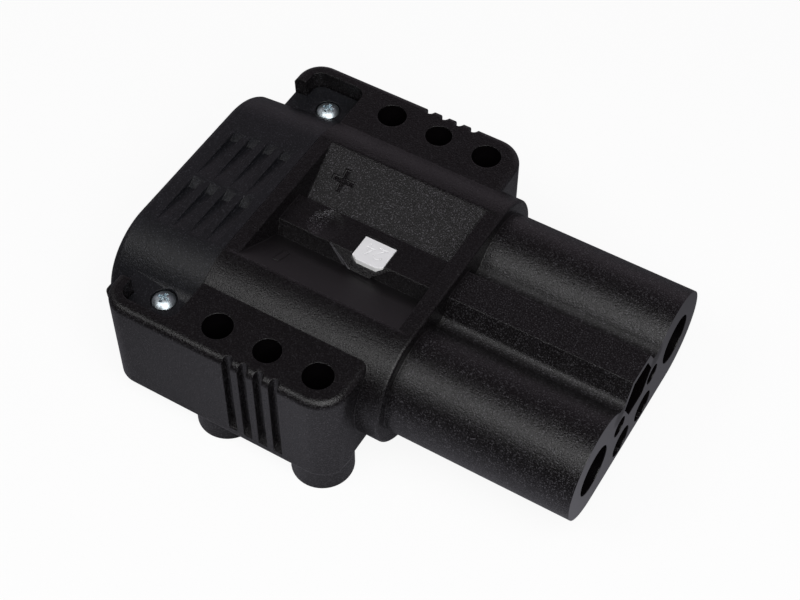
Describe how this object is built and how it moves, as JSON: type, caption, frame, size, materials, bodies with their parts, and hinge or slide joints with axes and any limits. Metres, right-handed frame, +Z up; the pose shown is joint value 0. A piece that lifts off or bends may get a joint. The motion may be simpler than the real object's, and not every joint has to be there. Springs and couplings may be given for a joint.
{
  "type": "battery connector",
  "caption": "Two-pole high-current battery connector, socket half: moulded twin-barrel housing with winged flanges, clamp cover, coding key and crimp contacts.",
  "frame": {"origin": "centre of the bounding box, on the plane of the four feet", "axes": "+X out of the mating face, +Y towards the positive pole, +Z up, away from the feet"},
  "size_m": [0.1606, 0.12, 0.0494],
  "materials": {
    "housing_plastic": "fine-grained moulded black plastic",
    "cover_plastic": "smooth moulded black plastic",
    "key_plastic": "white moulded plastic",
    "zinc_screw": "bright zinc plated",
    "plated_copper": "silver plated, turned",
    "spring_steel": "bare spring steel",
    "pilot_brass": "turned brass"
  },
  "bodies": {
    "root": {"housing": "housing_plastic", "cable_clamp_cover": "cover_plastic", "cover_screws": "zinc_screw", "coding_key": "key_plastic", "main_contact_plus": "plated_copper", "main_contact_minus": "plated_copper", "contact_band_plus": "spring_steel", "contact_band_minus": "spring_steel", "retaining_rings": "spring_steel", "pilot_contact_plus": "pilot_brass", "pilot_contact_minus": "pilot_brass"}
  },
  "joints": []
}
